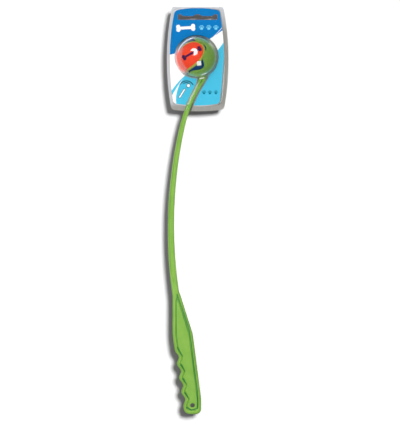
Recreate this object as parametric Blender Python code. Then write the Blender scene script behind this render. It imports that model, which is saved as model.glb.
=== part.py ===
# Dog ball thrower hanging in its clear pack.
# A one-piece moulded launcher holds a felt ball in its claw cup. The cup sits between two clear
# shells that fold together at the top edge, with a card between them, and the arm leaves through
# the bottom edge. Metres, +Z up, the front faces -Y, and the origin is the hang slot's centre.

import math

import bmesh
import bpy
from mathutils import Euler, Matrix, Vector

MM = 0.001

# Clearances
PIECE_GAP = 0.3 * MM
OVERRUN = 4.0 * MM

# Ball
BALL_DIAMETER = 63.5 * MM
FELT_THICKNESS = 3.0 * MM
CORE_WALL = 3.4 * MM
SEAM_WIDTH = 3.2 * MM
SEAM_SINK = 0.7 * MM
BALL_TURN = Euler((math.radians(-142.3), math.radians(43.6), math.radians(24.1)), "XYZ")

# Cup
CUP_CENTRE_SIDE = -1.9 * MM
CUP_CENTRE_DROP = 68.8 * MM
CUP_WALL = 2.7 * MM
EXIT_RISE = math.radians(8.9)
# How far the rim stands round the ball from the cup's back, at angles round the mouth, top to bottom
RIM_ANGLES = (
    (0, 107), (24, 104), (34, 98), (38, 86), (42, 72), (48, 65), (56, 63), (68, 65), (80, 70), (88, 72),
    (96, 70), (106, 65), (116, 62), (126, 64), (132, 71), (136, 84), (141, 96), (152, 103), (180, 107),
)

# Neck and shaft: the collar's short bend, the neck's arc, then the long bow down to the handle
NECK_PLACE = math.radians(20.5)
ROOT_LEAN = math.radians(7.0)
NECK_LEAN = math.radians(31.7)
NECK_ROOT_SHARE = 0.3
NECK_ARC_RADIUS = 253 * MM
NECK_ARC_LENGTH = 85 * MM
BOW_RADIUS = 808 * MM
SHAFT_LENGTH = 391 * MM
SHAFT_TOP_WIDTH = 7.6 * MM
SHAFT_LOW_WIDTH = 12.0 * MM
SHAFT_DEPTH = 8.0 * MM
SHAFT_EDGE_RADIUS = 1.6 * MM
GROOVE_EDGE = 2.0 * MM
GROOVE_DEPTH = 0.8 * MM

# Collar under the cup: place along it, then half width and half depth, as shares of the sizes below
COLLAR_LENGTH = 17.0 * MM
COLLAR_WIDTH = 15.6 * MM
COLLAR_DEPTH = 15.0 * MM
COLLAR_SHARES = (
    (0.0, 1.0), (0.14, 1.0), (0.2, 0.94), (0.27, 0.82), (0.5, 0.7), (0.54, 0.77), (0.64, 0.77), (0.7, 0.68),
    (1.0, 0.55),
)

# Grip: lengths run down from the arm's end, and sides are measured from the middle of that end
GRIP_BLEND = 6.9 * MM
FINGER_SIDE = -5.2 * MM
FINGER_BEND_LENGTH = 76.5 * MM
FINGER_START_LENGTH = 101.9 * MM
FINGER_PITCH = 24.6 * MM
FINGER_COUNT = 4
FINGER_DEPTH = 5.2 * MM
GRIP_TAIL = 14.1 * MM
KNEE_LENGTH = 73.9 * MM
KNEE_SIDE = 30.2 * MM
PALM_SIDE_LIMIT = 44.9 * MM
FLARE_LEAN = math.radians(17.6)
PALM_LEAN = math.radians(7.4)
FINGER_LEAN = math.radians(8.7)
GRIP_DEPTH = 17.0 * MM
GRIP_EDGE_RADIUS = 3.6 * MM
GRIP_END_RADIUS = 9.0 * MM
DEPTH_RISE_ABOVE = 45 * MM
DEPTH_RISE_BELOW = 67 * MM
RIM_WIDTH = 5.4 * MM
END_RIM_WIDTH = 6.6 * MM
GRIP_GROOVE_WIDTH = 1.8 * MM
GRIP_GROOVE_DEPTH = 1.3 * MM
GRIP_GROOVE_CORNER = 4.0 * MM
LANYARD_HOLE_DIAMETER = 8.0 * MM
LANYARD_HOLE_RISE = 15.5 * MM
LANYARD_HOLE_INSET = 15.1 * MM

# Pack outline, shared by both clear shells
PACK_WIDTH = 108.4 * MM
PACK_SIDE_BOW = 9.2 * MM
PACK_TOP = 19.2 * MM
PACK_WIDEST_DROP = 74 * MM
PACK_BOTTOM_DROP = 164 * MM
PACK_BOTTOM_BOW = 3.2 * MM
PACK_LOW_CORNER = 14.0 * MM
PACK_TOP_CORNER = 1.6 * MM
SHELL_WALL = 0.5 * MM
FOLD_DIAMETER = 1.8 * MM

# Dome and neck channel, measured inside each shell
DOME_SPACE = 2.1 * MM
CHANNEL_LEFT_SPACE = 0.7 * MM
CHANNEL_RIGHT_SPACE = 2.6 * MM
CHANNEL_RUNOUT = 14.0 * MM
CHANNEL_EDGE_RADIUS = 2.6 * MM
FUNNEL_LENGTH = 26.0 * MM
FUNNEL_REACH = 12.5 * MM
# Place along the funnel, then what it adds to the channel's left, right and depth
FUNNEL_SHARES = (
    (-0.54, 0.56, 1.0, 0.38), (-0.25, 0.53, 0.8, 0.38), (0.0, 0.48, 0.5, 0.37), (0.3, 0.34, 0.2, 0.27),
    (0.54, 0.18, 0.02, 0.13), (0.77, 0.06, 0.0, 0.04), (1.0, 0.0, 0.0, 0.0),
)

# Card
CARD_THICKNESS = 0.4 * MM
CARD_SIDE_INSET = 7.0 * MM
CARD_TOP_INSET = 1.7 * MM
CARD_TOP_BOW = 4.4 * MM
CARD_BOTTOM_INSET = 10.3 * MM
CARD_BOTTOM_BOW = 3.8 * MM
CARD_CORNER = 9.0 * MM

# Hang slot
SLOT_WIDTH = 69.0 * MM
SLOT_BAR_HEIGHT = 5.8 * MM
SLOT_LOBE_RISE = 3.2 * MM
SLOT_END_LOBE = 5.6 * MM
SLOT_MID_LOBE = 11.0 * MM
SLOT_FLANK = 3.4 * MM
SLOT_CORNER = 2.0 * MM

# Shape limits
SHARP_ANGLE = math.radians(32)
EDGE_LIMIT_SHARE = 0.9
GROOVE_TIP_SHARE = 0.15

# Fineness
ROUND_STEPS = 40
EDGE_STEPS = 2
RIM_STEP_LIMIT = 8
CUP_ROWS = 10
SHAFT_STATIONS = 24
CHANNEL_STATIONS = 14
FLARE_STATIONS = 10
FINGER_STEPS = 8
END_STEPS = 7
CORNER_STEPS = 5
SIDE_STEPS = 8
PANEL_ROWS = 34
PANEL_COLUMNS = 8
SEAM_STATIONS = 76
CORE_ROWS = 6
CORE_SEGMENTS = 26
FOLD_SEGMENTS = 16

# Sizes that follow from the ones above
BALL_RADIUS = BALL_DIAMETER / 2
CUP_CENTRE = Vector((CUP_CENTRE_SIDE, 0, -CUP_CENTRE_DROP))
CUP_INNER = BALL_RADIUS + PIECE_GAP
CUP_OUTER = CUP_INNER + CUP_WALL
DOME_INNER = CUP_OUTER + DOME_SPACE
DOME_OUTER = DOME_INNER + SHELL_WALL
FLANGE_INNER = CARD_THICKNESS / 2 + PIECE_GAP
FLANGE_OUTER = FLANGE_INNER + SHELL_WALL
FOLD_HEIGHT = PACK_TOP - FOLD_DIAMETER / 2
SHELL_TOP = FOLD_HEIGHT - FOLD_DIAMETER / 2 - PIECE_GAP


def plastic(name, colour, roughness, alpha=1.0):
    """A moulded plastic or other plain finish."""
    material = bpy.data.materials.new(name)
    material.use_nodes = True
    shader = material.node_tree.nodes["Principled BSDF"]
    shader.inputs["Base Color"].default_value = (*colour, 1.0)
    shader.inputs["Roughness"].default_value = roughness
    shader.inputs["Metallic"].default_value = 0.0
    shader.inputs["Alpha"].default_value = alpha
    material.diffuse_color = (*colour, alpha)
    return material


def launcher_green():
    return plastic("launcher_green", (0.24, 0.49, 0.07), 0.38)


def core_rubber():
    return plastic("core_rubber", (0.06, 0.06, 0.065), 0.75)


def felt_red():
    return plastic("felt_red", (0.86, 0.07, 0.02), 0.95)


def felt_navy():
    return plastic("felt_navy", (0.006, 0.04, 0.15), 0.95)


def seam_yellow():
    return plastic("seam_yellow", (0.44, 0.44, 0.05), 0.7)


def clear_shell():
    return plastic("clear_shell", (0.86, 0.88, 0.9), 0.08, 0.3)


def card_print():
    return plastic("card_print", (0.0, 0.22, 0.58), 0.45)


def finished(name, bm, material):
    """Turns a bmesh into a named object with outward faces and its material."""
    bmesh.ops.recalc_face_normals(bm, faces=bm.faces)
    mesh = bpy.data.meshes.new(name)
    bm.to_mesh(mesh)
    bm.free()
    if material:
        mesh.materials.append(material)
    mesh.shade_smooth()
    mesh.set_sharp_from_angle(angle=SHARP_ANGLE)
    piece = bpy.data.objects.new(name, mesh)
    bpy.context.scene.collection.objects.link(piece)
    return piece


def cutter(name, bm):
    """A helper body that only takes part in a Boolean."""
    piece = finished(name, bm, None)
    piece.hide_render = True
    piece.display_type = "WIRE"
    return piece


def combine(target, helper, operation):
    """Adds one exact Boolean step to the target."""
    step = target.modifiers.new(f"{operation.lower()} {helper.name}", "BOOLEAN")
    step.object = helper
    step.operation = operation
    step.solver = "EXACT"


def prism(outline, low, high):
    """An (x, z) outline extruded along Y."""
    bm = bmesh.new()
    front = [bm.verts.new((x, low, z)) for x, z in outline]
    back = [bm.verts.new((x, high, z)) for x, z in outline]
    bm.faces.new(front)
    bm.faces.new(back[::-1])
    count = len(outline)
    for i in range(count):
        j = (i + 1) % count
        bm.faces.new((front[j], front[i], back[i], back[j]))
    return bm


def loft(rings):
    """Rings of equally many points joined in order, with flat ends."""
    bm = bmesh.new()
    rows = [[bm.verts.new(p) for p in ring] for ring in rings]
    for row, following in zip(rows, rows[1:]):
        count = len(row)
        for i in range(count):
            j = (i + 1) % count
            bm.faces.new((row[i], row[j], following[j], following[i]))
    bm.faces.new(rows[0][::-1])
    bm.faces.new(rows[-1])
    return bm


def rounded(corners):
    """Replaces each corner (x, z, radius) by an arc that touches both of its sides."""
    outline = []
    count = len(corners)
    for i, (x, z, radius) in enumerate(corners):
        here = Vector((x, z))
        if radius <= 0:
            outline.append((x, z))
            continue
        before = Vector(corners[i - 1][:2]) - here
        after = Vector(corners[(i + 1) % count][:2]) - here
        half = before.angle(after) / 2
        reach = min(radius / math.tan(half), before.length / 2, after.length / 2)
        radius = reach * math.tan(half)
        centre = here + (before.normalized() + after.normalized()).normalized() * radius / math.sin(half)
        start = here + before.normalized() * reach - centre
        end = here + after.normalized() * reach - centre
        sweep = start.angle_signed(end)
        for step in range(CORNER_STEPS + 1):
            turned = start.copy()
            turned.rotate(Matrix.Rotation(-sweep * step / CORNER_STEPS, 2))
            outline.append(tuple(centre + turned))
    return outline


def smooth_step(value, low, high):
    """0 below low, 1 above high, with an eased rise between them."""
    share = min(max((value - low) / (high - low), 0), 1)
    return share * share * (3 - 2 * share)


def read_table(table, place):
    """Interpolates the columns of a table that starts each row with its place."""
    for row, following in zip(table, table[1:]):
        if place <= following[0]:
            share = max((place - row[0]) / (following[0] - row[0]), 0)
            return [a + (b - a) * share for a, b in zip(row[1:], following[1:])]
    return list(table[-1][1:])


# Ball

def seam_point(turn):
    """The tennis seam on a unit sphere."""
    wide, narrow = 3 / 4, 1 / 4
    return Vector((
        wide * math.cos(turn) + narrow * math.cos(3 * turn),
        wide * math.sin(turn) - narrow * math.sin(3 * turn),
        2 * math.sqrt(wide * narrow) * math.sin(2 * turn),
    ))


def seam_side(turn, offset):
    """A point beside the seam, at an angle offset that is positive to the left of its run."""
    step = math.radians(0.1)
    here = seam_point(turn)
    run = seam_point(turn + step) - seam_point(turn - step)
    return (here + here.cross(run).normalized() * math.tan(offset)).normalized()


def on_ball(direction, radius):
    turned = direction.copy()
    turned.rotate(BALL_TURN)
    return CUP_CENTRE + turned * radius


def felt_panel(name, mirror, offset, material):
    """One of the two equal felt panels, ruled between both of its long sides."""
    rows, columns = PANEL_ROWS, PANEL_COLUMNS
    inner = BALL_RADIUS - FELT_THICKNESS
    sheets = []
    bm = bmesh.new()
    for radius in (BALL_RADIUS, inner):
        sheet = []
        for i in range(rows + 1):
            turn = mirror / 2 + math.pi * i / rows
            left = seam_side(turn, offset)
            right = seam_side(mirror - turn, offset)
            if i in (0, rows):
                sheet.append([bm.verts.new(on_ball(left, radius))])
                continue
            line = [left.slerp(right, j / columns) for j in range(columns + 1)]
            sheet.append([bm.verts.new(on_ball(p, radius)) for p in line])
        sheets.append(sheet)
        for row, following in zip(sheet, sheet[1:]):
            if len(row) == 1:
                for j in range(columns):
                    bm.faces.new((row[0], following[j], following[j + 1]))
            elif len(following) == 1:
                for j in range(columns):
                    bm.faces.new((row[j + 1], row[j], following[0]))
            else:
                for j in range(columns):
                    bm.faces.new((row[j + 1], row[j], following[j], following[j + 1]))
    edges = []
    for sheet in sheets:
        edges.append([row[0] for row in sheet] + [row[-1] for row in sheet[-2:0:-1]])
    outer, lower = edges
    for i in range(len(outer)):
        j = (i + 1) % len(outer)
        bm.faces.new((outer[i], outer[j], lower[j], lower[i]))
    return finished(name, bm, material)


def ball_seam():
    """The rubbery strip between the felt panels, one closed ring."""
    stations = SEAM_STATIONS
    half = (SEAM_WIDTH - PIECE_GAP) / 2 / BALL_RADIUS
    inner = BALL_RADIUS - FELT_THICKNESS
    outer = BALL_RADIUS - SEAM_SINK
    bm = bmesh.new()
    rings = []
    for i in range(stations):
        turn = 2 * math.pi * i / stations
        left = seam_side(turn, half)
        right = seam_side(turn, -half)
        corners = ((left, outer), (right, outer), (right, inner), (left, inner))
        rings.append([bm.verts.new(on_ball(p, r)) for p, r in corners])
    for i in range(stations):
        row, following = rings[i], rings[(i + 1) % stations]
        for k in range(4):
            bm.faces.new((row[k], row[(k + 1) % 4], following[(k + 1) % 4], following[k]))
    return finished("ball_seam", bm, seam_yellow())


def ball_core_half(name, side):
    """Half of the hollow rubber core, turned about the ball's own axis."""
    outer = BALL_RADIUS - FELT_THICKNESS - PIECE_GAP
    inner = outer - CORE_WALL
    face = PIECE_GAP / 2
    rows, segments = CORE_ROWS, CORE_SEGMENTS
    bm = bmesh.new()
    poles, rings = [], []
    for radius in (outer, inner):
        start = math.asin(face / radius)
        poles.append(bm.verts.new(on_ball(Vector((0, 0, side)), radius)))
        layer = []
        for i in range(rows):
            rise = start + (math.pi / 2 - start) * i / rows
            layer.append([
                bm.verts.new(on_ball(Vector((
                    math.cos(rise) * math.cos(2 * math.pi * j / segments),
                    math.cos(rise) * math.sin(2 * math.pi * j / segments),
                    side * math.sin(rise),
                )), radius))
                for j in range(segments)
            ])
        rings.append(layer)
    for pole, layer in zip(poles, rings):
        for i in range(rows - 1):
            for j in range(segments):
                k = (j + 1) % segments
                bm.faces.new((layer[i][j], layer[i][k], layer[i + 1][k], layer[i + 1][j]))
        for j in range(segments):
            bm.faces.new((layer[-1][j], layer[-1][(j + 1) % segments], pole))
    for j in range(segments):
        k = (j + 1) % segments
        bm.faces.new((rings[0][0][j], rings[0][0][k], rings[1][0][k], rings[1][0][j]))
    return finished(name, bm, core_rubber())


def build_ball():
    beside = (SEAM_WIDTH + PIECE_GAP) / 2 / BALL_RADIUS
    felt_panel("ball_felt_red", 3 * math.pi / 2, beside, felt_red())
    felt_panel("ball_felt_navy", math.pi / 2, -beside, felt_navy())
    ball_seam()
    ball_core_half("ball_core_half_upper", 1)
    ball_core_half("ball_core_half_lower", -1)


# Launcher

EXIT = Vector((-math.cos(EXIT_RISE), 0, math.sin(EXIT_RISE)))
MOUTH_UP = Vector((math.sin(EXIT_RISE), 0, math.cos(EXIT_RISE)))
FRONT = Vector((0, -1, 0))


def rim_angle(turn):
    """How far the rim reaches from the cup's back, on a curve through the listed angles."""
    place = math.degrees(turn) % 360
    place = min(place, 360 - place)
    rows = RIM_ANGLES
    at = max(i for i, row in enumerate(rows[:-1]) if row[0] <= place)
    start, end = rows[at], rows[at + 1]
    before = rows[at - 1] if at else start
    after = rows[at + 2] if at + 2 < len(rows) else end
    gap = end[0] - start[0]
    share = (place - start[0]) / gap
    slope_in = (end[1] - before[1]) / (end[0] - before[0]) * gap if at else 0
    slope_out = (after[1] - start[1]) / (after[0] - start[0]) * gap if after != end else 0
    rest = 1 - share
    reach = (
        start[1] * (1 + 2 * share) * rest * rest + end[1] * (3 - 2 * share) * share * share
        + slope_in * share * rest * rest - slope_out * rest * share * share
    )
    return math.radians(reach)


def cup_point(turn, angle, inside):
    """A point of the cup: round outside, but straight inside past its widest place."""
    aside = MOUTH_UP * math.cos(turn) + FRONT * math.sin(turn)
    radius = CUP_INNER if inside else CUP_OUTER
    if inside and angle > math.pi / 2:
        return CUP_CENTRE + aside * radius - EXIT * (radius / math.tan(angle))
    return CUP_CENTRE + aside * (radius * math.sin(angle)) - EXIT * (radius * math.cos(angle))


def rim_turns():
    """Places round the mouth, close enough together for the steep flanks of the rim."""
    turns = []
    for (place, reach), (next_place, next_reach) in zip(RIM_ANGLES, RIM_ANGLES[1:]):
        steps = math.ceil(max(next_place - place, abs(next_reach - reach)) / RIM_STEP_LIMIT)
        turns += [place + (next_place - place) * i / steps for i in range(steps)]
    mirrored = [360 - place for place in turns[1:]]
    return [math.radians(place) for place in turns + [180] + mirrored[::-1]]


def claw_cup():
    """The cup's shell, with prongs above and below the ball and both sides cut back."""
    turns = rim_turns()
    count = len(turns)
    bm = bmesh.new()
    layers = []
    for inside in (False, True):
        pole = bm.verts.new(cup_point(0, 0, inside))
        rings = []
        for row in range(1, CUP_ROWS + 1):
            ring = [cup_point(turn, rim_angle(turn) * row / CUP_ROWS, inside) for turn in turns]
            rings.append([bm.verts.new(point) for point in ring])
        for i in range(count):
            j = (i + 1) % count
            bm.faces.new((pole, rings[0][i], rings[0][j]))
            for row, following in zip(rings, rings[1:]):
                bm.faces.new((row[i], row[j], following[j], following[i]))
        layers.append(rings[-1])
    outer, inner = layers
    for i in range(count):
        j = (i + 1) % count
        bm.faces.new((outer[i], outer[j], inner[j], inner[i]))
    return finished("launcher", bm, launcher_green())


def arm_arcs():
    """The arm's three arcs, each as its length and how fast its lean from straight down lessens."""
    collar_turn = (ROOT_LEAN - NECK_LEAN) / COLLAR_LENGTH
    return (
        (COLLAR_LENGTH, collar_turn),
        (NECK_ARC_LENGTH, 1 / NECK_ARC_RADIUS),
        (SHAFT_LENGTH - COLLAR_LENGTH - NECK_ARC_LENGTH, 1 / BOW_RADIUS),
    )


def shaft_heading(place):
    """The arm's lean from straight down, towards -X, at a length along it."""
    lean = ROOT_LEAN
    for i, (length, turn) in enumerate(arm_arcs()):
        if place <= length or i == 2:
            return lean - turn * place
        lean -= turn * length
        place -= length


def shaft_point(place):
    """The arm's centreline, which starts inside the cup's wall."""
    root = CUP_INNER + CUP_WALL * NECK_ROOT_SHARE
    point = CUP_CENTRE + Vector((math.sin(NECK_PLACE), 0, -math.cos(NECK_PLACE))) * root
    lean = ROOT_LEAN
    for i, (length, turn) in enumerate(arm_arcs()):
        run = place if place <= length or i == 2 else length
        end = lean - turn * run
        across = (math.cos(lean) - math.cos(end)) / turn
        down = (math.sin(lean) - math.sin(end)) / turn
        point += Vector((across, 0, -down))
        if run == place:
            return point
        lean = end
        place -= length


def shaft_across(place):
    """The direction across the arm, which starts flat on the cup and turns into the arm's own."""
    settled = min(max(place / COLLAR_LENGTH, 0), 1)
    lean = shaft_heading(place) * settled - NECK_PLACE * (1 - settled)
    return Vector((math.cos(lean), 0, -math.sin(lean)))


def plain_width(place):
    """The arm's width without its collar."""
    return SHAFT_TOP_WIDTH + (SHAFT_LOW_WIDTH - SHAFT_TOP_WIDTH) * place / SHAFT_LENGTH


def shaft_half_width(place):
    plain = plain_width(place) / 2
    if place >= COLLAR_LENGTH:
        return plain
    return max(read_table(COLLAR_SHARES, place / COLLAR_LENGTH)[0] * COLLAR_WIDTH / 2, plain)


def half_depth(place, run):
    """Half the thickness: the collar, the slim arm, then the full grip."""
    rise = smooth_step(run, -DEPTH_RISE_ABOVE, DEPTH_RISE_BELOW)
    plain = SHAFT_DEPTH / 2 + (GRIP_DEPTH - SHAFT_DEPTH) / 2 * rise
    if place >= COLLAR_LENGTH:
        return plain
    return max(read_table(COLLAR_SHARES, place / COLLAR_LENGTH)[0] * COLLAR_DEPTH / 2, plain)


def finger_side(run):
    """The grip's grooved edge: straight, then leaning in with a wave for each finger."""
    side = FINGER_SIDE + math.tan(FINGER_LEAN) * max(run - FINGER_BEND_LENGTH, 0)
    along = run - FINGER_START_LENGTH
    if 0 < along < FINGER_COUNT * FINGER_PITCH:
        side += FINGER_DEPTH / 2 * (1 - math.cos(2 * math.pi * along / FINGER_PITCH))
    return side


def palm_side(run):
    """The grip's smooth edge: a straight flare to the knee, then a gentler line up to its limit."""
    lean = FLARE_LEAN if run < KNEE_LENGTH else PALM_LEAN
    return min(KNEE_SIDE + math.tan(lean) * (run - KNEE_LENGTH), PALM_SIDE_LIMIT)


def end_inset(run, end, radius):
    """How far a rounded end has drawn in at a length along the grip."""
    inside = max(run - (end - radius), 0)
    return radius - math.sqrt(max(radius * radius - inside * inside, 0))


def ring_section(centre, across, half_wide, half_deep, corner):
    """A rounded rectangle across the arm, in the plane of Y and the across direction."""
    corner = min(corner, half_wide * EDGE_LIMIT_SHARE, half_deep * EDGE_LIMIT_SHARE)
    ring = []
    for quarter, (side, face) in enumerate(((1, -1), (1, 1), (-1, 1), (-1, -1))):
        for step in range(EDGE_STEPS + 1):
            turn = math.pi / 2 * (quarter - 1 + step / EDGE_STEPS)
            out = side * (half_wide - corner) + corner * math.cos(turn)
            back = face * (half_deep - corner) + corner * math.sin(turn)
            ring.append(centre + across * out + Vector((0, back, 0)))
    return ring


# Where the arm ends and the grip starts, and where the fingers and the grip end below it
GRIP_START = shaft_point(SHAFT_LENGTH)
FINGER_END = FINGER_START_LENGTH + FINGER_COUNT * FINGER_PITCH
GRIP_END = FINGER_END + GRIP_TAIL


def on_grip(side, run):
    return GRIP_START + Vector((side, 0, -run))


def grip_places():
    """Places of the grip's sections, closer together where its outline turns."""
    flare = FINGER_START_LENGTH - GRIP_BLEND
    places = [GRIP_BLEND + flare * i / FLARE_STATIONS for i in range(FLARE_STATIONS)]
    steps = FINGER_COUNT * FINGER_STEPS
    places += [FINGER_START_LENGTH + FINGER_PITCH * i / FINGER_STEPS for i in range(steps)]
    return places + [
        FINGER_END + GRIP_TAIL * math.sin(math.pi / 2 * i / END_STEPS) for i in range(END_STEPS + 1)
    ]


def arm_rings():
    """The sections of the collar and the arm, the first of them inside the cup's wall."""
    places = [share * COLLAR_LENGTH for share, _ in COLLAR_SHARES]
    plain = SHAFT_LENGTH - COLLAR_LENGTH
    places += [COLLAR_LENGTH + plain * i / SHAFT_STATIONS for i in range(1, SHAFT_STATIONS + 1)]
    rings = []
    for place in places:
        point = shaft_point(place)
        deep = half_depth(place, GRIP_START.z - point.z)
        corner = max(SHAFT_EDGE_RADIUS, deep / 2) if place < COLLAR_LENGTH else SHAFT_EDGE_RADIUS
        rings.append(ring_section(point, shaft_across(place), shaft_half_width(place), deep, corner))
    return rings


def grip_rings():
    rings = []
    for run in grip_places():
        inset = end_inset(run, GRIP_END, GRIP_END_RADIUS)
        left = finger_side(run) + inset
        right = palm_side(run) - inset
        grown = smooth_step(run, -DEPTH_RISE_ABOVE, DEPTH_RISE_BELOW)
        corner = SHAFT_EDGE_RADIUS + (GRIP_EDGE_RADIUS - SHAFT_EDGE_RADIUS) * grown
        deep = half_depth(SHAFT_LENGTH, run) - end_inset(run, GRIP_END, GRIP_EDGE_RADIUS)
        centre = on_grip((left + right) / 2, run)
        rings.append(ring_section(centre, Vector((1, 0, 0)), (right - left) / 2, deep, corner))
    return rings


def grip_groove_path():
    """The centreline of the groove inside the grip's rim: down the fingers, up the palm."""
    inset = RIM_WIDTH + GRIP_GROOVE_WIDTH / 2
    bottom = GRIP_END - END_RIM_WIDTH - GRIP_GROOVE_WIDTH / 2
    narrow = (KNEE_SIDE - FINGER_SIDE - 2 * inset) / math.tan(FLARE_LEAN)
    apex = max(KNEE_LENGTH - narrow, GRIP_BLEND)
    corner_top = bottom - GRIP_GROOVE_CORNER
    runs = [run for run in grip_places() if apex + GRIP_GROOVE_WIDTH < run < corner_top]
    runs += [
        corner_top + GRIP_GROOVE_CORNER * math.sin(math.pi / 2 * i / CORNER_STEPS)
        for i in range(CORNER_STEPS + 1)
    ]
    left, right = [], []
    for run in runs:
        drawn = inset + end_inset(run, bottom, GRIP_GROOVE_CORNER)
        left.append((finger_side(min(run, FINGER_END)) + drawn, run))
        right.append((palm_side(run) - drawn, run))
    return [((palm_side(apex) + finger_side(apex)) / 2, apex)] + left + right[::-1]


def grip_groove(side):
    """A closed ring that sinks the groove into the grip's front (-1) or back (1) face."""
    path = grip_groove_path()
    count = len(path)
    top = GRIP_DEPTH / 2 + OVERRUN
    bm = bmesh.new()
    rings = []
    for i, (aside, run) in enumerate(path):
        before, after = path[i - 1], path[(i + 1) % count]
        heading = Vector((after[0] - before[0], 0, before[1] - after[1])).normalized()
        across = Vector((-heading.z, 0, heading.x)) * (GRIP_GROOVE_WIDTH / 2)
        floor = half_depth(SHAFT_LENGTH, run) - GRIP_GROOVE_DEPTH
        point = on_grip(aside, run)
        corners = ((-across, floor), (across, floor), (across, top), (-across, top))
        rings.append([bm.verts.new(point + edge + Vector((0, side * y, 0))) for edge, y in corners])
    for i in range(count):
        row, following = rings[i], rings[(i + 1) % count]
        for k in range(4):
            bm.faces.new((row[k], row[(k + 1) % 4], following[(k + 1) % 4], following[k]))
    return cutter(f"grip_groove {side}", bm)


def shaft_groove(side):
    """The shallow groove down the arm's face, pointed at both ends."""
    start = COLLAR_LENGTH * COLLAR_SHARES[-2][0]
    end = SHAFT_LENGTH - COLLAR_LENGTH
    rings = []
    for i in range(SHAFT_STATIONS + 1):
        place = start + (end - start) * i / SHAFT_STATIONS
        point = shaft_point(place)
        across = shaft_across(place)
        taper = min(1, GROOVE_TIP_SHARE + min(place - start, end - place) / COLLAR_LENGTH)
        wide = (plain_width(place) / 2 - GROOVE_EDGE) * taper
        surface = half_depth(SHAFT_LENGTH, GRIP_START.z - point.z)
        floor = Vector((0, side * (surface - GROOVE_DEPTH), 0))
        top = Vector((0, side * (surface + OVERRUN), 0))
        flare = GROOVE_DEPTH / 2
        rings.append([
            point + floor - across * wide,
            point + floor + across * wide,
            point + top + across * (wide + flare),
            point + top - across * (wide + flare),
        ])
    return cutter(f"shaft_groove {side}", loft(rings))


def circle(centre, radius, steps):
    turns = [2 * math.pi * i / steps for i in range(steps)]
    return [(centre.x + radius * math.cos(t), centre.z + radius * math.sin(t)) for t in turns]


def build_launcher():
    launcher = claw_cup()
    combine(launcher, cutter("arm_and_grip", loft(arm_rings() + grip_rings())), "UNION")
    for side in (-1, 1):
        combine(launcher, grip_groove(side), "DIFFERENCE")
        combine(launcher, shaft_groove(side), "DIFFERENCE")
    centre = on_grip(PALM_SIDE_LIMIT - LANYARD_HOLE_INSET, GRIP_END - LANYARD_HOLE_RISE)
    hole = circle(centre, LANYARD_HOLE_DIAMETER / 2, ROUND_STEPS // 2)
    reach = GRIP_DEPTH / 2 + OVERRUN
    combine(launcher, cutter("lanyard_hole", prism(hole, -reach, reach)), "DIFFERENCE")


# Pack

def pack_half_width(drop, inset):
    """Half the pack's width, whose sides are one large arc each."""
    rise = PACK_WIDEST_DROP + PACK_TOP
    radius = (rise * rise + PACK_SIDE_BOW * PACK_SIDE_BOW) / (2 * PACK_SIDE_BOW)
    away = drop - PACK_WIDEST_DROP
    inner = radius - inset
    return PACK_WIDTH / 2 - radius + math.sqrt(inner * inner - away * away)


def panel_outline(top, top_bow, bottom, bottom_bow, inset, top_corner, low_corner):
    """A panel with bowed ends and arc sides, as (x, z) points."""
    pieces = SIDE_STEPS
    side_top = top - top_bow
    side_bottom = bottom - bottom_bow
    corners = []
    for i in range(pieces + 1):
        drop = -side_top + (side_bottom + side_top) * i / pieces
        corner = top_corner if i == 0 else low_corner if i == pieces else 0
        corners.append((pack_half_width(drop, inset), -drop, corner))
    low = pack_half_width(side_bottom, inset)
    high = pack_half_width(-side_top, inset)
    for i in range(1, pieces):
        share = 1 - 2 * i / pieces
        corners.append((low * share, -bottom + bottom_bow * share * share, 0))
    for i in range(pieces, -1, -1):
        drop = -side_top + (side_bottom + side_top) * i / pieces
        corner = top_corner if i == 0 else low_corner if i == pieces else 0
        corners.append((-pack_half_width(drop, inset), -drop, corner))
    for i in range(1, pieces):
        share = 2 * i / pieces - 1
        corners.append((high * share, top - top_bow * share * share, 0))
    return rounded(corners)


def slot_outline(spare):
    """The hang slot: a bar with three lobes that let a peg or two centre it."""
    half = SLOT_WIDTH / 2 + spare
    low = -SLOT_BAR_HEIGHT / 2 - spare
    high = SLOT_BAR_HEIGHT / 2 + spare
    crest = high + SLOT_LOBE_RISE
    corner = SLOT_CORNER
    middle = SLOT_MID_LOBE / 2
    return rounded([
        (-half, low, corner), (half, low, corner), (half, crest, corner),
        (half - SLOT_END_LOBE, crest, corner), (half - SLOT_END_LOBE - SLOT_FLANK, high, corner),
        (middle + SLOT_FLANK / 2, high, corner), (middle / 2, crest, corner),
        (-middle / 2, crest, corner), (-middle - SLOT_FLANK / 2, high, corner),
        (-half + SLOT_END_LOBE + SLOT_FLANK, high, corner), (-half + SLOT_END_LOBE, crest, corner),
        (-half, crest, corner),
    ])


def channel_body(name, grown):
    """The space round the arm that leaves the pack, wider towards the dome, grown by a wall."""
    end = COLLAR_LENGTH
    while -shaft_point(end).z < PACK_BOTTOM_DROP + CHANNEL_RUNOUT:
        end += COLLAR_LENGTH / 4
    stations = CHANNEL_STATIONS
    start = -CHANNEL_RUNOUT
    rings = []
    for i in range(stations + 1):
        place = start + (end - start) * i / stations
        point = shaft_point(place)
        across = shaft_across(place)
        arm = plain_width(place) / 2
        more = [share * FUNNEL_REACH for share in read_table(FUNNEL_SHARES, place / FUNNEL_LENGTH)]
        left = arm + CHANNEL_LEFT_SPACE + more[0] + grown
        right = arm + CHANNEL_RIGHT_SPACE + more[1] + grown
        deep = SHAFT_DEPTH / 2 + PIECE_GAP + more[2] + grown
        centre = point + across * ((right - left) / 2)
        rings.append(ring_section(centre, across, (left + right) / 2, deep, CHANNEL_EDGE_RADIUS + grown))
    return cutter(name, loft(rings))


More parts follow.
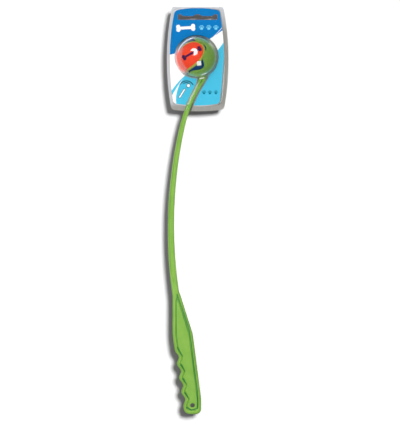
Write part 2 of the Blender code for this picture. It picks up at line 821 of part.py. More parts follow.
def round_body(name, radius):
    """A sphere round the cup's centre, its poles on the front and the back."""
    bm = bmesh.new()
    bmesh.ops.create_uvsphere(bm, u_segments=ROUND_STEPS, v_segments=ROUND_STEPS // 2, radius=radius)
    bmesh.ops.rotate(bm, verts=bm.verts, matrix=Matrix.Rotation(math.pi / 2, 3, "X"))
    bmesh.ops.translate(bm, verts=bm.verts, vec=CUP_CENTRE)
    return cutter(name, bm)


def clear_half(name, side, dome_outer, dome_inner, channel_outer, channel_inner, slot):
    """One clear shell: flange, half dome and half channel, all of one wall."""
    reach = PACK_WIDTH
    blank = [
        (-reach, -PACK_BOTTOM_DROP - reach), (reach, -PACK_BOTTOM_DROP - reach),
        (reach, PACK_TOP + reach), (-reach, PACK_TOP + reach),
    ]
    low, high = sorted((side * FLANGE_OUTER, -side * OVERRUN))
    shell = finished(name, prism(blank, low, high), clear_shell())
    combine(shell, dome_outer, "UNION")
    combine(shell, channel_outer, "UNION")
    outline = panel_outline(
        SHELL_TOP, 0, PACK_BOTTOM_DROP, PACK_BOTTOM_BOW, 0, PACK_TOP_CORNER, PACK_LOW_CORNER
    )
    low, high = sorted((side * FLANGE_INNER, side * (DOME_OUTER + OVERRUN)))
    combine(shell, cutter(f"{name} trim", prism(outline, low, high)), "INTERSECT")
    combine(shell, dome_inner, "DIFFERENCE")
    combine(shell, channel_inner, "DIFFERENCE")
    combine(shell, slot, "DIFFERENCE")


def insert_card(slot):
    """The printed card, cut away round the dome and the channel."""
    outline = panel_outline(
        PACK_TOP - CARD_TOP_INSET, CARD_TOP_BOW, PACK_BOTTOM_DROP - CARD_BOTTOM_INSET, CARD_BOTTOM_BOW,
        CARD_SIDE_INSET, CARD_CORNER, CARD_CORNER,
    )
    outline = [(x, min(z, SHELL_TOP)) for x, z in outline]
    card = finished("insert_card", prism(outline, -CARD_THICKNESS / 2, CARD_THICKNESS / 2), card_print())
    hole = circle(CUP_CENTRE, DOME_OUTER + PIECE_GAP, ROUND_STEPS)
    combine(card, cutter("card round", prism(hole, -OVERRUN, OVERRUN)), "DIFFERENCE")
    combine(card, channel_body("card channel", SHELL_WALL + PIECE_GAP), "DIFFERENCE")
    combine(card, slot, "DIFFERENCE")


def fold_hinge():
    """The rolled crease along the top edge that both shells fold about."""
    length = 2 * (pack_half_width(-SHELL_TOP, 0) - PACK_TOP_CORNER)
    bm = bmesh.new()
    bmesh.ops.create_cone(
        bm, cap_ends=True, segments=FOLD_SEGMENTS, radius1=FOLD_DIAMETER / 2, radius2=FOLD_DIAMETER / 2,
        depth=length,
    )
    bmesh.ops.rotate(bm, verts=bm.verts, matrix=Matrix.Rotation(math.pi / 2, 3, "Y"))
    bmesh.ops.translate(bm, verts=bm.verts, vec=(0, 0, FOLD_HEIGHT))
    finished("fold_hinge", bm, clear_shell())


def build_pack():
    reach = DOME_OUTER + OVERRUN
    dome_outer = round_body("dome outside", DOME_OUTER)
    dome_inner = round_body("dome inside", DOME_INNER)
    channel_outer = channel_body("channel outside", SHELL_WALL)
    channel_inner = channel_body("channel inside", 0)
    slot = cutter("slot", prism(slot_outline(0), -reach, reach))
    card_slot = cutter("card slot", prism(slot_outline(PIECE_GAP), -reach, reach))
    for name, side in (("front_shell", -1), ("rear_shell", 1)):
        clear_half(name, side, dome_outer, dome_inner, channel_outer, channel_inner, slot)
    insert_card(card_slot)
    fold_hinge()


def main():
    for leftover in list(bpy.data.objects):
        bpy.data.objects.remove(leftover, do_unlink=True)
    build_ball()
    build_launcher()
    build_pack()


main()
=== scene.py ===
import math

import bmesh
import bpy
from mathutils import Euler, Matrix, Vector
from mathutils.kdtree import KDTree


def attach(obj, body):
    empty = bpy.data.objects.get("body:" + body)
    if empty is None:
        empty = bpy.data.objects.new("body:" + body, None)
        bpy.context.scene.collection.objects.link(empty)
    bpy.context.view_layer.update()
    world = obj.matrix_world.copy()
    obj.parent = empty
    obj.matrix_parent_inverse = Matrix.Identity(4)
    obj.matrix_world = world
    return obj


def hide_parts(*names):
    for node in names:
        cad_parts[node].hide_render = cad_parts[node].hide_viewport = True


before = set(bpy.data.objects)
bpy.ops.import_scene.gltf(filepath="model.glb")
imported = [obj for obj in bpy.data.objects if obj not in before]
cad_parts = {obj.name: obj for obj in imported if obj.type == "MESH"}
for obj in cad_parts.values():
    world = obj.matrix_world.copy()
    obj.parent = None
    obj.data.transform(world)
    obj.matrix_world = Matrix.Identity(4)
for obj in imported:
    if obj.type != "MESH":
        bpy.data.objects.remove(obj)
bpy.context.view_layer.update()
print("frame loaded")

mm = 0.001  # everything below is written in millimetres


# Small helpers

def pick(*things):
    bpy.ops.object.select_all(action="DESELECT")
    for thing in things:
        thing.select_set(True)
    bpy.context.view_layer.objects.active = things[0]


def newObject(name, data):
    made = bpy.data.objects.new(name, data)
    bpy.context.scene.collection.objects.link(made)
    return made


def copyNode(node, name):
    # a frame node is loose triangles, so its copy is merged before anything else
    piece = newObject(name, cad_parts[node].data.copy())
    piece.data.materials.clear()
    pick(piece)
    bpy.ops.object.mode_set(mode="EDIT")
    bpy.ops.mesh.select_all(action="SELECT")
    bpy.ops.mesh.remove_doubles(threshold=0.01 * mm)
    bpy.ops.mesh.customdata_custom_splitnormals_clear()
    bpy.ops.object.mode_set(mode="OBJECT")
    return piece


def applied(piece, kind, **settings):
    step = piece.modifiers.new(kind.lower(), kind)
    for name, value in settings.items():
        setattr(step, name, value)
    pick(piece)
    bpy.ops.object.modifier_apply(modifier=step.name)


def smoothShaded(piece, degrees):
    pick(piece)
    bpy.ops.object.shade_smooth_by_angle(angle=math.radians(degrees))


def finishPiece(piece, body, slot, material, *nodes):
    piece.data.materials.clear()
    piece.data.materials.append(material)
    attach(piece, body)
    if nodes:
        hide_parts(*nodes)


# Node helpers

def newMaterial(name, finish=()):
    material = bpy.data.materials.new(name)
    material.use_nodes = True
    tree = material.node_tree
    shader = tree.nodes["Principled BSDF"]
    for socket, value in dict(finish).items():
        shader.inputs[socket].default_value = value
    return material, tree, shader, addNode(tree, "TexCoord").outputs["Object"]


def addNode(tree, kind, inputs=(), **settings):
    made = tree.nodes.new("ShaderNode" + kind)
    for name, value in settings.items():
        setattr(made, name, value)
    for socket, value in dict(inputs).items():
        if isinstance(value, bpy.types.NodeSocket):
            tree.links.new(value, made.inputs[socket])
        else:
            made.inputs[socket].default_value = value
    return made


def calc(tree, operation, *values):
    return addNode(tree, "Math", enumerate(values), operation=operation).outputs[0]


def minus(tree, first, second):
    return calc(tree, "SUBTRACT", first, second)


def product(tree, first, *others):
    for other in others:
        first = calc(tree, "MULTIPLY", first, other)
    return first


def mixColour(tree, share, first, second):
    first, second = [(*value, 1) if isinstance(value, tuple) else value for value in (first, second)]
    return addNode(tree, "Mix", {0: share, 6: first, 7: second}, data_type="RGBA").outputs[2]


def paint(tree, shader, colour):
    tree.links.new(colour, shader.inputs["Base Color"])


def axes(tree, vector):
    parts = addNode(tree, "SeparateXYZ", {0: vector})
    return parts.outputs[0], parts.outputs[1], parts.outputs[2]


def flatVector(tree, across, up):
    return addNode(tree, "CombineXYZ", {0: across, 1: up}).outputs[0]


def lengthOf(tree, vector):
    return addNode(tree, "VectorMath", {0: vector}, operation="LENGTH").outputs["Value"]


def dotWith(tree, vector, aim):
    return addNode(tree, "VectorMath", {0: vector, 1: aim}, operation="DOT_PRODUCT").outputs["Value"]


def noise(tree, place, grain, detail=3.0, roughness=0.5, distortion=0.0):
    # grain is the size of one fleck in metres
    inputs = {"Vector": place, "Scale": 1 / grain, "Detail": detail}
    inputs.update({"Roughness": roughness, "Distortion": distortion})
    return addNode(tree, "TexNoise", inputs).outputs["Fac"]


def bump(tree, shader, height, depth, strength=1.0, under=None):
    inputs = {"Height": height, "Distance": depth, "Strength": strength}
    if under:
        inputs["Normal"] = under
    made = addNode(tree, "Bump", inputs).outputs[0]
    tree.links.new(made, shader.inputs["Normal"])
    return made


def between(tree, value, low, high):
    # 0 at low, 1 at high, whichever of them is larger
    return addNode(tree, "MapRange", {0: value, 1: low, 2: high}).outputs[0]


def inside(tree, distance, blur=0.12 * mm):
    return between(tree, distance, blur, -blur)


def arcMask(tree, flat, degrees, halfDegrees, fullShare=0.6):
    # 1 round some angle from the right, 0 elsewhere, for a direction in the front's plane
    angle, reach = math.radians(degrees), math.radians(halfDegrees)
    part = dotWith(tree, flat, (math.cos(angle), math.sin(angle), 0))
    return between(tree, part, math.cos(reach), math.cos(reach * fullShare))


def spotDistance(tree, across, up, spots):
    # distance from the nearest of some round spots (across, up, radius), less its radius
    place = flatVector(tree, across, up)
    nearest = None
    for spotAcross, spotUp, radius in spots:
        away = addNode(tree, "VectorMath", {0: place, 1: (spotAcross, spotUp, 0)}, operation="DISTANCE")
        gap = minus(tree, away.outputs["Value"], radius)
        nearest = gap if nearest is None else calc(tree, "MINIMUM", nearest, gap)
    return nearest


def barDistance(tree, across, up, halfLength, radius):
    # distance from a bar with round ends that lies along the first axis
    past = calc(tree, "MAXIMUM", minus(tree, calc(tree, "ABSOLUTE", across), halfLength), 0)
    return minus(tree, lengthOf(tree, flatVector(tree, past, up)), radius)


def turnedPlace(tree, place, side, height, degrees):
    # place measured from a point of the front, with its first axis turned up by some degrees
    inputs = {"Vector": place, "Location": (side, 0, height), "Rotation": (0, math.radians(-degrees), 0)}
    across, away, up = axes(tree, addNode(tree, "Mapping", inputs, vector_type="TEXTURE").outputs[0])
    return across, up


def boneDistance(tree, along, above, half, thick, knob):
    # a bar with two round knobs at each end
    knobs = [(end * half, lift * thick, knob) for end in (-1, 1) for lift in (-1, 1)]
    bar = barDistance(tree, along, above, half, thick)
    return calc(tree, "MINIMUM", spotDistance(tree, along, above, knobs), bar)


# a paw's pad and its four toes: across, up and radius, as shares of its size
pawPad = ((0, -0.2, 0.25), (-0.12, -0.26, 0.16), (0.12, -0.26, 0.16))
pawToes = ((-0.37, 0.05, 0.12), (-0.14, 0.27, 0.13), (0.37, 0.05, 0.12), (0.14, 0.27, 0.13))


def pawRow(tree, across, up, size, pitch, halfLength):
    # a row of paws along the first axis, as a mask
    repeated = calc(tree, "WRAP", across, pitch / 2, -pitch / 2)
    spots = [[share * size for share in spot] for spot in pawPad + pawToes]
    paws = inside(tree, spotDistance(tree, repeated, up, spots))
    window = calc(tree, "LESS_THAN", calc(tree, "ABSOLUTE", across), halfLength)
    return product(tree, paws, window)


# Launcher: the moulded skin has soft edges everywhere

launcher = {
    "voxel": 0.48 * mm,
    "softening": 2,  # rounds of smoothing
    "keptShare": 0.6,  # of the dense skin's faces
    "green": (0.198, 0.425, 0.049),
    # the colour of the painted shade in grooves and pressed marks
    "shadeGreen": (0.045, 0.25, 0.06),
    "paleGreen": (0.27, 0.505, 0.075),
    "cupGreen": (0.15, 0.31, 0.043),
    "paleCupGreen": (0.24, 0.445, 0.072),
    "finish": {"Specular IOR Level": 0.6},
    "mottleGrain": 22 * mm,
    "blastGrain": 2.4 * mm,
    "rubbedGrain": 6 * mm,
    "peelGrain": 0.9 * mm,
    "peelDepth": 0.05 * mm,
    "partingHalf": (0.35 * mm, 0.1 * mm),  # half the mould's parting line, where it starts and is full
    "partingDepth": 0.12 * mm,
    "cupFoot": -99 * mm,
    "cupBlend": (-105 * mm, -97 * mm),
    "hollowReach": 2.6 * mm,
    # the groove's painted shade is faint beside the fingers: below their top, and left of a line with this
    # slope and start
    "fingerTop": -592 * mm,
    "fingerLine": (-0.152, -111.6 * mm),
    "fingerBlend": 3 * mm,
    "fingerFade": 0.7,
    # pressed marks, each a line of points: across, up and half width, in millimetres
    "marks": (
        ((-35.0, -579.0, 2.3), (-26.2, -594.5, 0.8)),
        ((-28.6, -609.2, 2.7), (-22.0, -621.5, 0.8)),
        ((-25.3, -633.5, 2.7), (-19.6, -643.5, 0.8)),
        ((-21.9, -658.2, 2.6), (-14.6, -669.8, 0.8)),
        (
            (-18.6, -684.0, 2.5), (-11.0, -688.4, 1.6), (-0.6, -685.2, 1.4), (0.6, -677.6, 1.4),
            (-0.7, -654.7, 1.5), (-3.9, -630.1, 1.5), (-7.2, -607.3, 1.5), (-11.3, -571.3, 1.5),
            (-15.4, -545.2, 1.4), (-23.6, -520.7, 1.3), (-35.0, -488.8, 1.3),
        ),
        ((-35.7, -485.6, 1.5), (-34.7, -490.5, 1.2)),
        ((-35.7, -486.5, 1.0), (-36.4, -500.0, 0.8)),
        ((7.6, -108.6, 1.9), (5.4, -114.2, 0.8)),
        ((14.6, -101.2, 1.5), (12.4, -103.2, 0.8)),
    ),
    "markDepth": 1.2 * mm,
    "marksBelow": -100 * mm,
    "marksFromMiddle": 2.4 * mm,  # they lie on both faces, not on the sides between
}


def launcherGreen():
    material, tree, shader, place = newMaterial("launcherGreen", launcher["finish"])
    across, deep, up = axes(tree, place)
    mottle = noise(tree, place, launcher["mottleGrain"], 4)
    colour = mixColour(tree, between(tree, mottle, 0.35, 0.9), launcher["green"], launcher["paleGreen"])
    blasted = between(tree, noise(tree, place, launcher["blastGrain"], 5, 0.65), 0.38, 0.72)
    cupColour = mixColour(tree, blasted, launcher["cupGreen"], launcher["paleCupGreen"])
    colour = mixColour(tree, between(tree, up, *launcher["cupBlend"]), colour, cupColour)

    # painted shade: grooves and pressed marks are darkened towards a deep green by ambient occlusion, below
    # the cup only, and fainter beside the fingers
    reach = {"Distance": launcher["hollowReach"]}
    hollow = addNode(tree, "AmbientOcclusion", reach, samples=8, only_local=True)
    shade = between(tree, hollow.outputs["AO"], 0.92, 0.55)
    belowCup = calc(tree, "LESS_THAN", up, launcher["cupFoot"])
    beside = minus(tree, calc(tree, "MULTIPLY_ADD", up, *launcher["fingerLine"]), across)
    beside = between(tree, beside, 0, launcher["fingerBlend"])
    fingers = product(tree, beside, calc(tree, "LESS_THAN", up, launcher["fingerTop"]))
    shade = product(tree, shade, belowCup, calc(tree, "MULTIPLY_ADD", fingers, -launcher["fingerFade"], 1))
    pressed = addNode(tree, "Attribute", attribute_name="pressed").outputs["Fac"]
    shade = calc(tree, "MAXIMUM", shade, between(tree, pressed, 0.05, 0.7))
    colour = mixColour(tree, shade, colour, launcher["shadeGreen"])
    paint(tree, shader, colour)

    rubbed = noise(tree, place, launcher["rubbedGrain"], 5)
    tree.links.new(between(tree, rubbed, -0.6, 2.4), shader.inputs["Roughness"])
    under = bump(tree, shader, noise(tree, place, launcher["peelGrain"], 2), launcher["peelDepth"], 0.35)
    line = between(tree, calc(tree, "ABSOLUTE", deep), *launcher["partingHalf"])
    bump(tree, shader, line, launcher["partingDepth"], 0.8, under)
    return material


def markDepths(skin):
    # how deep each point lies in the dents that the mould leaves, as a share
    marks = []
    for line in launcher["marks"]:
        for first, second in zip(line, line[1:]):
            start, end = Vector(first[:2]) * mm, Vector(second[:2]) * mm
            wide, narrow = first[2] * mm, second[2] * mm
            low, high = min(start.y, end.y) - wide, max(start.y, end.y) + wide
            marks.append((low, high, start, end - start, wide, narrow - wide))
    for point in skin.data.vertices:
        x, y, z = point.co
        if abs(y) < launcher["marksFromMiddle"] or z > launcher["marksBelow"]:
            continue
        here = Vector((x, z))
        deepest = 0
        for low, high, start, run, wide, change in marks:
            if low < z < high:
                along = min(max((here - start).dot(run) / run.length_squared, 0), 1)
                off = (here - start - run * along).length / (wide + change * along)
                if off < 1:
                    deepest = max(deepest, (1 - off * off) ** 2)
        if deepest:
            yield point, deepest


def makeLauncher():
    skin = copyNode("launcher", "launcherSkin")
    applied(skin, "REMESH", mode="VOXEL", voxel_size=launcher["voxel"])
    for point, share in markDepths(skin):
        point.co.y -= math.copysign(launcher["markDepth"] * share, point.co.y)
    applied(skin, "SMOOTH", factor=0.5, iterations=launcher["softening"])
    applied(skin, "DECIMATE", ratio=launcher["keptShare"])
    # the dents' share, which the material turns into painted shade
    pressed = skin.data.attributes.new("pressed", "FLOAT", "POINT")
    for point, share in markDepths(skin):
        pressed.data[point.index].value = share
    pick(skin)
    bpy.ops.object.shade_smooth()
    finishPiece(skin, "launcher", "launcher_green", launcherGreen(), "launcher")
    print("launcher made:", len(skin.data.polygons), "faces")


# Ball: napped felt over a rubber core, with a rubber seam that swells up between the panels

ball = {
    "centre": Vector((-1.9, 0, -68.8)) * mm,
    "radius": 31.75 * mm,
    "turn": (-142.3, 43.6, 24.1),
    "feltThickness": 3.0 * mm,
    "edgeRound": 0.6 * mm,
    "edgeAngle": math.radians(50),
    # the felt dips towards the seam's middle line, between these distances from it
    "edgeDip": 1.0 * mm,
    "dipFrom": 3.4 * mm,
    "dipTo": 1.8 * mm,
    "nap": 0.3 * mm,
    "napGrain": 1.4 * mm,
    "tuftGrain": 1.1 * mm,
    "patchyGrain": 9 * mm,
    "tuftDepth": 0.3 * mm,
    "seamCurve": (0.75, 0.25),  # the shares of the wide and the narrow wave in a tennis ball's seam
    "seamHalfWidth": 2.3 * mm,
    "seamHalfHeight": 1.1 * mm,
    "seamSunk": 1.25 * mm,
    "seamSteps": 360,
    "seamSides": 12,
    "red": (0.81, 0.052, 0.021),
    "paleRed": (0.88, 0.12, 0.05),
    "navy": (0.005, 0.036, 0.125),
    "paleNavy": (0.016, 0.075, 0.21),
    "feltFinish": {
        "Roughness": 0.92, "Specular IOR Level": 0.1, "Sheen Weight": 0.08, "Sheen Roughness": 0.45,
    },
    "seam": (0.25, 0.32, 0.035),
    "paleSeam": (0.40, 0.46, 0.075),
    "seamFinish": {"Roughness": 0.7},
    "seamFleck": 1.5 * mm,
    "seamGrain": 0.6 * mm,
    "seamDepth": 0.15 * mm,
    "core": (0.045, 0.045, 0.05),
    "paleCore": (0.085, 0.083, 0.08),
    "coreFinish": {"Roughness": 0.8},
    "coreFleck": 4 * mm,
    "coreGrain": 0.8 * mm,
    "coreDepth": 0.1 * mm,
    # print: places are across, up and degrees
    "bonePlace": (-10.2 * mm, -62.4 * mm, 30),
    "boneHalf": 15.6 * mm,
    "boneThick": 1.9 * mm,
    "boneKnob": 3.1 * mm,
    "patchPlace": (2.4 * mm, -80.4 * mm, 6),
    "patchHalf": 3.8 * mm,
    "printBlur": 0.3 * mm,
    "wornGrain": 1.0 * mm,
    "print": (0.012, 0.010, 0.075),
    "patch": (0.86, 0.88, 0.84),
}


def feltNap(tree, shader, place, colour, paleColour):
    tuft = noise(tree, place, ball["tuftGrain"], 6, 0.65, 0.6)
    patchy = noise(tree, place, ball["patchyGrain"], 3)
    share = product(tree, between(tree, tuft, 0.35, 0.8), between(tree, patchy, 0.0, 0.8))
    bump(tree, shader, tuft, ball["tuftDepth"], 0.6)
    return mixColour(tree, share, colour, paleColour)


def redFelt():
    material, tree, shader, place = newMaterial("redFelt", ball["feltFinish"])
    colour = feltNap(tree, shader, place, ball["red"], ball["paleRed"])
    side, height, degrees = ball["bonePlace"]
    along, above = turnedPlace(tree, place, side, height, degrees)
    bone = boneDistance(tree, along, above, ball["boneHalf"], ball["boneThick"], ball["boneKnob"])
    front = calc(tree, "LESS_THAN", axes(tree, place)[1], 0)
    worn = between(tree, noise(tree, place, ball["wornGrain"], 4), 0.2, 0.45)
    printed = product(tree, inside(tree, bone, ball["printBlur"]), front, worn)
    paint(tree, shader, mixColour(tree, printed, colour, ball["print"]))
    return material


def printedPatch(tree, place, colour):
    # a plain pale square over the seam's side
    side, height, degrees = ball["patchPlace"]
    across, up = turnedPlace(tree, place, side, height, degrees)
    past = calc(tree, "MAXIMUM", calc(tree, "ABSOLUTE", across), calc(tree, "ABSOLUTE", up))
    square = inside(tree, minus(tree, past, ball["patchHalf"]), ball["printBlur"])
    front = calc(tree, "LESS_THAN", axes(tree, place)[1], 0)
    return mixColour(tree, product(tree, square, front), colour, ball["patch"])


def navyFelt():
    material, tree, shader, place = newMaterial("navyFelt", ball["feltFinish"])
    colour = feltNap(tree, shader, place, ball["navy"], ball["paleNavy"])
    paint(tree, shader, printedPatch(tree, place, colour))
    return material


def seamRubber():
    material, tree, shader, place = newMaterial("seamRubber", ball["seamFinish"])
    fleck = noise(tree, place, ball["seamFleck"], 4)
    colour = mixColour(tree, between(tree, fleck, 0.35, 0.7), ball["seam"], ball["paleSeam"])
    paint(tree, shader, printedPatch(tree, place, colour))
    bump(tree, shader, noise(tree, place, ball["seamGrain"], 3), ball["seamDepth"], 0.6)
    return material


def coreRubber():
    material, tree, shader, place = newMaterial("coreRubber", ball["coreFinish"])
    fleck = noise(tree, place, ball["coreFleck"], 4)
    colour = mixColour(tree, between(tree, fleck, 0.3, 0.7), ball["core"], ball["paleCore"])
    paint(tree, shader, colour)
    bump(tree, shader, noise(tree, place, ball["coreGrain"], 3), ball["coreDepth"], 0.5)
    return material


def seamDirections():
    # the seam of a tennis ball, turned as this ball lies in the cup
    turn = Euler([math.radians(degrees) for degrees in ball["turn"]]).to_matrix()
    wide, narrow = ball["seamCurve"]
    for i in range(ball["seamSteps"]):
        t = 2 * math.pi * i / ball["seamSteps"]
        across = wide * math.cos(t) + narrow * math.cos(3 * t)
        along = wide * math.sin(t) - narrow * math.sin(3 * t)
        yield turn @ Vector((across, along, 2 * math.sqrt(wide * narrow) * math.sin(2 * t)))


def feltShape(panel, seam):
    # both faces go to their own radius, and the outer one dips towards the seam
    outer, inner = ball["radius"], ball["radius"] - ball["feltThickness"]
    for point in panel.data.vertices:
        away = point.co - ball["centre"]
        if away.length > (outer + inner) / 2:
            gap = seam.find(away.normalized() * outer)[2]
            dip = min(max((ball["dipFrom"] - gap) / (ball["dipFrom"] - ball["dipTo"]), 0), 1)
            radius = outer - ball["edgeDip"] * dip * dip
        else:
            radius = inner
        point.co = ball["centre"] + away.normalized() * radius


def makeFelt(node, name, slot, material, seam):
    panel = copyNode(node, name)
    applied(panel, "SUBSURF", subdivision_type="SIMPLE", levels=2, render_levels=2)
    feltShape(panel, seam)
    rounded = {"width": ball["edgeRound"], "segments": 3, "angle_limit": ball["edgeAngle"]}
    applied(panel, "BEVEL", limit_method="ANGLE", **rounded)
    texture = bpy.data.textures.new(name + "Nap", "CLOUDS")
    texture.noise_scale = ball["napGrain"]
    applied(panel, "DISPLACE", texture=texture, texture_coords="LOCAL", strength=ball["nap"], mid_level=1.0)
    pick(panel)
    bpy.ops.object.shade_smooth()
    finishPiece(panel, "ball", slot, material, node)


def makeSeam(directions):
    # one closed swelling all the way round, an ellipse across
    steps, sides = len(directions), ball["seamSides"]
    mesh = bmesh.new()
    rings = []
    for i, out in enumerate(directions):
        run = directions[(i + 1) % steps] - directions[i - 1]
        beside = out.cross(run).normalized()
        middle = ball["centre"] + out * (ball["radius"] - ball["seamSunk"])
        ring = []
        for j in range(sides):
            turn = 2 * math.pi * j / sides
            sideways = beside * ball["seamHalfWidth"] * math.cos(turn)
            ring.append(mesh.verts.new(middle + sideways + out * ball["seamHalfHeight"] * math.sin(turn)))
        rings.append(ring)
    for i in range(steps):
        one, two = rings[i], rings[(i + 1) % steps]
        for j in range(sides):
            mesh.faces.new((one[j], one[(j + 1) % sides], two[(j + 1) % sides], two[j]))
    bmesh.ops.recalc_face_normals(mesh, faces=mesh.faces)
    data = bpy.data.meshes.new("seamBead")
    mesh.to_mesh(data)
    mesh.free()
    bead = newObject("seamBead", data)
    pick(bead)
    bpy.ops.object.shade_smooth()
    finishPiece(bead, "ball", "seam_yellow", seamRubber(), "ball_seam")


def makeBall():
    directions = list(seamDirections())
    seam = KDTree(len(directions))
    for i, out in enumerate(directions):
        seam.insert(out * ball["radius"], i)
    seam.balance()
    makeFelt("ball_felt_red", "redPanel", "felt_red", redFelt(), seam)
    makeFelt("ball_felt_navy", "navyPanel", "felt_navy", navyFelt(), seam)
    makeSeam(directions)
    rubber = coreRubber()
    for node in ("ball_core_half_upper", "ball_core_half_lower"):
        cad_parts[node].data.materials.clear()
        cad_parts[node].data.materials.append(rubber)
    print("ball made")


# Card: three printed fields and a few plain motifs

card = {
    # how its edges move: from this far off the middle, over this reach, then each side's way
    "edgeFrom": 36 * mm,
    "edgeReach": 6 * mm,
    "leftOut": 1.7 * mm,
    "rightIn": 0.8 * mm,
    # the right edge's further way in towards the foot
    "footIn": 2.2 * mm,
    "footAcross": (20 * mm, 45 * mm),
    "footUp": (-60 * mm, -110 * mm),
    "blue": (0.0, 0.203, 0.54),
    "cyan": (0.075, 0.54, 0.755),
    "white": (0.97, 0.97, 0.97),
    "paleCyan": (0.20, 0.66, 0.86),
    "ink": (0.012, 0.03, 0.05),
    "teal": (0.0, 0.17, 0.27),
    "board": (0.70, 0.69, 0.66),
    # edges of the blue and the cyan field: start, slope, square and cube of the way across
    "blueEdge": (-48.3 * mm, 0.4785, 3.03, 0.0),
    "cyanEdge": (-85.2 * mm, 0.65, 0.0, 135.0),
    # a thin white line under the blue: where it starts, where its gap to the blue is the drop, and its slope
    "lineStart": 27 * mm,
    "lineMiddle": 33 * mm,
    "lineDrop": 1.5 * mm,
    "lineSlope": 0.36,
    "lineHalf": 0.55 * mm,
    # a white sliver in the cyan: its top, then start, slope and square of its right edge, and its widening
    "sliverTop": -99.7 * mm,
    "sliverEdge": (-20.6 * mm, 0.80, 9.2),
    "sliverWidening": 5.6,
    # motifs: places are across, up and degrees
    "bonePlace": (-21.0 * mm, -17.4 * mm, 4),
    "boneHalf": 13.0 * mm,
    "boneThick": 2.5 * mm,
    "boneKnob": 3.7 * mm,
    # rows of paws: place, size, pitch, how many to a side of the middle, and colour
    "paws": (
        ((19.5 * mm, -16.6 * mm, 0), 9.4 * mm, 12.6 * mm, 1.5, "paleCyan"),
        ((21.5 * mm, -130.5 * mm, 0), 7.6 * mm, 10.4 * mm, 1.5, "teal"),
    ),
    "stickPlace": (-27.4 * mm, -132.4 * mm, 58),
    "stickSize": (7.6 * mm, 1.25 * mm),
    "toyPlace": (-16.2 * mm, -118.8 * mm, 0),
    "toyRadius": 2.7 * mm,
    "inkRim": 0.8 * mm,
    # arcs over the toy ball: their middle from it, half their width, then each one's radius and lowest height
    "arcMiddle": (-3.5 * mm, -5 * mm),
    "arcHalf": 0.75 * mm,
    "arcs": ((13.2 * mm, 1.0 * mm), (10.2 * mm, 3.5 * mm)),
    "finish": {"Roughness": 0.42, "Specular IOR Level": 0.05},
    "printedFace": -0.17 * mm,
    "fibreGrain": 0.7 * mm,
    "fibreDepth": 0.02 * mm,
    "dust": (0.5, 0.5, 0.5),
    "dustShare": 0.015,
}


def printedCard():
    material, tree, shader, place = newMaterial("printedCard", card["finish"])
    across, deep, up = axes(tree, place)

    def curve(start, slope, square, cube):
        # start + slope x + square x^2 + cube x^3
        value = calc(tree, "MULTIPLY_ADD", across, cube, square)
        value = calc(tree, "MULTIPLY_ADD", across, value, slope)
        return calc(tree, "MULTIPLY_ADD", across, value, start)

    blueEdge = minus(tree, curve(*card["blueEdge"]), up)
    cyanEdge = minus(tree, up, curve(*card["cyanEdge"]))
    colour = mixColour(tree, inside(tree, blueEdge), card["white"], card["blue"])
    colour = mixColour(tree, inside(tree, cyanEdge), colour, card["cyan"])

    # a thin white line that leaves the band's upper edge towards the right
    past = minus(tree, across, card["lineMiddle"])
    lift = calc(tree, "MULTIPLY_ADD", past, card["lineSlope"], card["lineDrop"])
    away = calc(tree, "ABSOLUTE", calc(tree, "ADD", blueEdge, lift))
    line = inside(tree, minus(tree, away, card["lineHalf"]))
    line = product(tree, line, calc(tree, "GREATER_THAN", across, card["lineStart"]))
    colour = mixColour(tree, line, colour, card["white"])

    # a white sliver that splits the cyan field's lower left
    drop = minus(tree, up, card["sliverTop"])
    start, slope, square = card["sliverEdge"]
    edge = calc(tree, "MULTIPLY_ADD", drop, calc(tree, "MULTIPLY_ADD", drop, square, slope), start)
    width = product(tree, drop, drop, card["sliverWidening"])
    right = minus(tree, across, edge)
    left = minus(tree, minus(tree, edge, width), across)
    sliver = inside(tree, calc(tree, "MAXIMUM", right, left))
    sliver = product(tree, sliver, calc(tree, "LESS_THAN", drop, 0), inside(tree, cyanEdge))
    colour = mixColour(tree, sliver, colour, card["white"])

    # a white bone
    along, above = turnedPlace(tree, place, *card["bonePlace"])
    bone = boneDistance(tree, along, above, card["boneHalf"], card["boneThick"], card["boneKnob"])
    colour = mixColour(tree, inside(tree, bone), colour, card["white"])

    # pale paws beside it, and darker ones near the foot
    for spot, size, pitch, count, ink in card["paws"]:
        along, above = turnedPlace(tree, place, *spot)
        paws = pawRow(tree, along, above, size, pitch, count * pitch)
        colour = mixColour(tree, paws, colour, card[ink])

    # a little drawing of a stick that throws a ball: white shapes with an ink rim, then arcs of plain ink
    along, above = turnedPlace(tree, place, *card["stickPlace"])
    stick = barDistance(tree, along, above, *card["stickSize"])
    along, above = turnedPlace(tree, place, *card["toyPlace"])
    toy = spotDistance(tree, along, above, [(0, 0, card["toyRadius"])])
    for shape in (stick, toy):
        inked = inside(tree, minus(tree, shape, card["inkRim"]))
        colour = mixColour(tree, inked, colour, card["ink"])
        colour = mixColour(tree, inside(tree, shape), colour, card["white"])
    for radius, low in card["arcs"]:
        ring = calc(tree, "ABSOLUTE", spotDistance(tree, along, above, [(*card["arcMiddle"], radius)]))
        ring = minus(tree, ring, card["arcHalf"])
        arc = calc(tree, "MAXIMUM", ring, minus(tree, low, above))
        colour = mixColour(tree, inside(tree, arc), colour, card["ink"])

    # the back of the card is bare board, and so are its cut edges
    front = calc(tree, "LESS_THAN", deep, card["printedFace"])
    colour = mixColour(tree, front, card["board"], colour)
    fibre = noise(tree, place, card["fibreGrain"], 5)
    dusty = mixColour(tree, card["dustShare"], colour, card["dust"])
    colour = mixColour(tree, between(tree, fibre, 0.2, 0.7), dusty, colour)
    paint(tree, shader, colour)
    bump(tree, shader, fibre, card["fibreDepth"], 0.4)
    return material


def makeCard():
    sheet = copyNode("insert_card", "printedSheet")
    trimCard(sheet)
    smoothShaded(sheet, 30)
    finishPiece(sheet, "rear_pack", "card_print", printedCard(), "insert_card")
    print("card printed")


